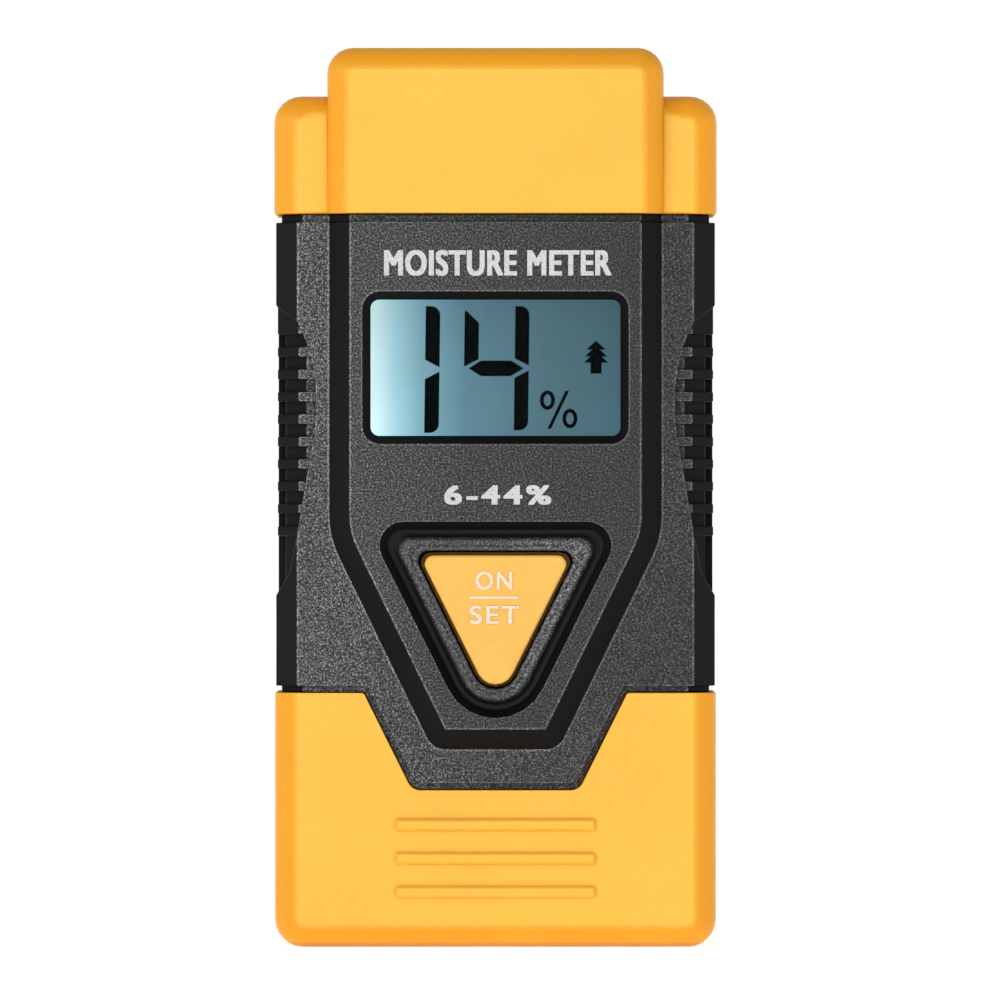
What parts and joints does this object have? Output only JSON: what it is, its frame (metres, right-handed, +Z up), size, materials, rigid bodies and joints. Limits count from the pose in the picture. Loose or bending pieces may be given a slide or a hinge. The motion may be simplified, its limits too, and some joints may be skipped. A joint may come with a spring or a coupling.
{
  "type": "moisture meter",
  "caption": "Pocket two-pin wood moisture meter with backlit display, triangular key, slide-off pin cap and battery cover.",
  "frame": {"origin": "centre of the battery cover's bottom face, on which the meter stands", "axes": "+Z up the body from battery cover to pin cap, -Y out of the display, +X to the right seen from the front"},
  "size_m": [0.0394, 0.02, 0.08],
  "materials": {
    "yellow_plastic": "fine moulded satin, warm yellow-orange",
    "key_plastic": "smooth moulded satin, warm yellow-orange",
    "black_plastic": "spark-eroded texture on the faces, smoother chamfers",
    "inner_plastic": "plain black moulding",
    "switch_plastic": "plain black moulding",
    "clear_lens": "polished clear plastic",
    "lcd_glass": "backlit display glass",
    "light_guide": "milky moulded plastic",
    "rubber_strip": "elastomer contact strip",
    "board": "green solder mask",
    "chip": "moulded epoxy",
    "nickel": "nickel-plated sheet and wire",
    "cell_steel": "drawn stainless can",
    "needle_steel": "ground stainless needle",
    "screw_steel": "zinc-plated steel",
    "brass": "turned brass",
    "wire_red": "insulated wire",
    "wire_black": "insulated wire",
    "label": "plain printed sticker without text"
  },
  "bodies": {
    "battery_cover": {"battery_cover": "yellow_plastic"},
    "housing": {"battery_holder": "inner_plastic", "battery_lead_left": "wire_red", "battery_lead_right": "wire_black", "board_screw_left": "screw_steel", "board_screw_right": "screw_steel", "button_cell_1": "cell_steel", "button_cell_2": "cell_steel", "button_cell_3": "cell_steel", "button_cell_4": "cell_steel", "circuit_board": "board", "contact_plate": "nickel", "contact_spring": "nickel", "electrode_pin_left": "needle_steel", "electrode_pin_right": "needle_steel", "electrode_socket_left": "brass", "electrode_socket_right": "brass", "filter_capacitor_left": "chip", "filter_capacitor_right": "chip", "front_housing": "black_plastic", "housing_screw_low_left": "screw_steel", "housing_screw_low_right": "screw_steel", "housing_screw_top_left": "screw_steel", "housing_screw_top_right": "screw_steel", "lcd_frame": "inner_plastic", "lcd_panel": "lcd_glass", "light_guide": "light_guide", "meter_chip": "chip", "pin_lead_left": "wire_black", "pin_lead_right": "wire_red", "rear_housing": "black_plastic", "rear_label": "label", "spring_plate": "nickel", "switch_case": "switch_plastic", "window_lens": "clear_lens", "zebra_strip": "rubber_strip"},
    "set_button": {"set_button": "key_plastic", "switch_plunger": "switch_plastic"},
    "pin_cap": {"pin_cap": "yellow_plastic"}
  },
  "joints": [
    {"name": "battery_cover_slide", "type": "slide", "parent": "battery_cover", "child": "housing", "axis": [0, 0, 1], "range_m": [0, 0.021]},
    {"name": "pin_cap_slide", "type": "slide", "parent": "housing", "child": "pin_cap", "axis": [0, 0, 1], "range_m": [0, 0.0145]},
    {"name": "set_button_press", "type": "slide", "parent": "housing", "child": "set_button", "axis": [0, 1, 0], "range_m": [0, 0.0004], "stiffness_N_per_m": 500, "springref_m": -0.001}
  ]
}
